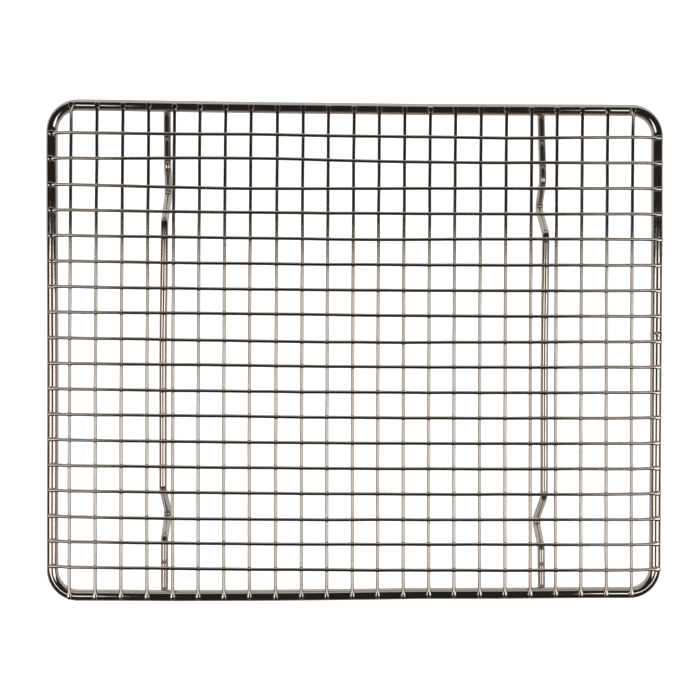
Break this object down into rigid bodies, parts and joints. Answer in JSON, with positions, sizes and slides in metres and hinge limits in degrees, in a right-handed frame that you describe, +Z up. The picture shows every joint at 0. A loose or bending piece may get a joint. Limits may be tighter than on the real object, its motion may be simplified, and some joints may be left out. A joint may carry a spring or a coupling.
{
  "type": "footed wire cooling rack",
  "caption": "Rectangular footed wire cooling rack: a square grid of thin welded wires on a heavy round rim, raised on kinked foot bars, all in bright plated steel.",
  "frame": {"origin": "centre of the rim's outline, on the plane the feet stand on", "axes": "+X along the rim's long side, +Y along its short side, +Z up, from the feet to the grid"},
  "size_m": [0.2543, 0.2052, 0.019],
  "materials": {
    "rim_wire": "bright nickel-chrome plate on heavy round steel wire",
    "cross_wire": "bright nickel-chrome plate on thin round steel wire",
    "long_wire": "bright nickel-chrome plate on thin round steel wire",
    "foot_bar": "bright nickel-chrome plate on round steel wire, dulled in the bends",
    "weld_bead": "plated weld upset, slightly rough"
  },
  "bodies": {
    "root": {"rim_wire": "rim_wire", "rim_butt_weld": "weld_bead", "cross_wire_01": "cross_wire", "cross_wire_02": "cross_wire", "cross_wire_03": "cross_wire", "cross_wire_04": "cross_wire", "cross_wire_05": "cross_wire", "cross_wire_06": "cross_wire", "cross_wire_07": "cross_wire", "cross_wire_08": "cross_wire", "cross_wire_09": "cross_wire", "cross_wire_10": "cross_wire", "cross_wire_11": "cross_wire", "cross_wire_12": "cross_wire", "cross_wire_13": "cross_wire", "cross_wire_14": "cross_wire", "cross_wire_15": "cross_wire", "cross_wire_16": "cross_wire", "cross_wire_17": "cross_wire", "cross_wire_18": "cross_wire", "cross_wire_19": "cross_wire", "cross_wire_20": "cross_wire", "cross_wire_21": "cross_wire", "cross_wire_22": "cross_wire", "cross_wire_23": "cross_wire", "long_wire_01": "long_wire", "long_wire_02": "long_wire", "long_wire_03": "long_wire", "long_wire_04": "long_wire", "long_wire_05": "long_wire", "long_wire_06": "long_wire", "long_wire_07": "long_wire", "long_wire_08": "long_wire", "long_wire_09": "long_wire", "long_wire_10": "long_wire", "long_wire_11": "long_wire", "long_wire_12": "long_wire", "long_wire_13": "long_wire", "long_wire_14": "long_wire", "long_wire_15": "long_wire", "long_wire_16": "long_wire", "long_wire_17": "long_wire", "long_wire_18": "long_wire", "left_foot_bar": "foot_bar", "right_foot_bar": "foot_bar"}
  },
  "joints": []
}
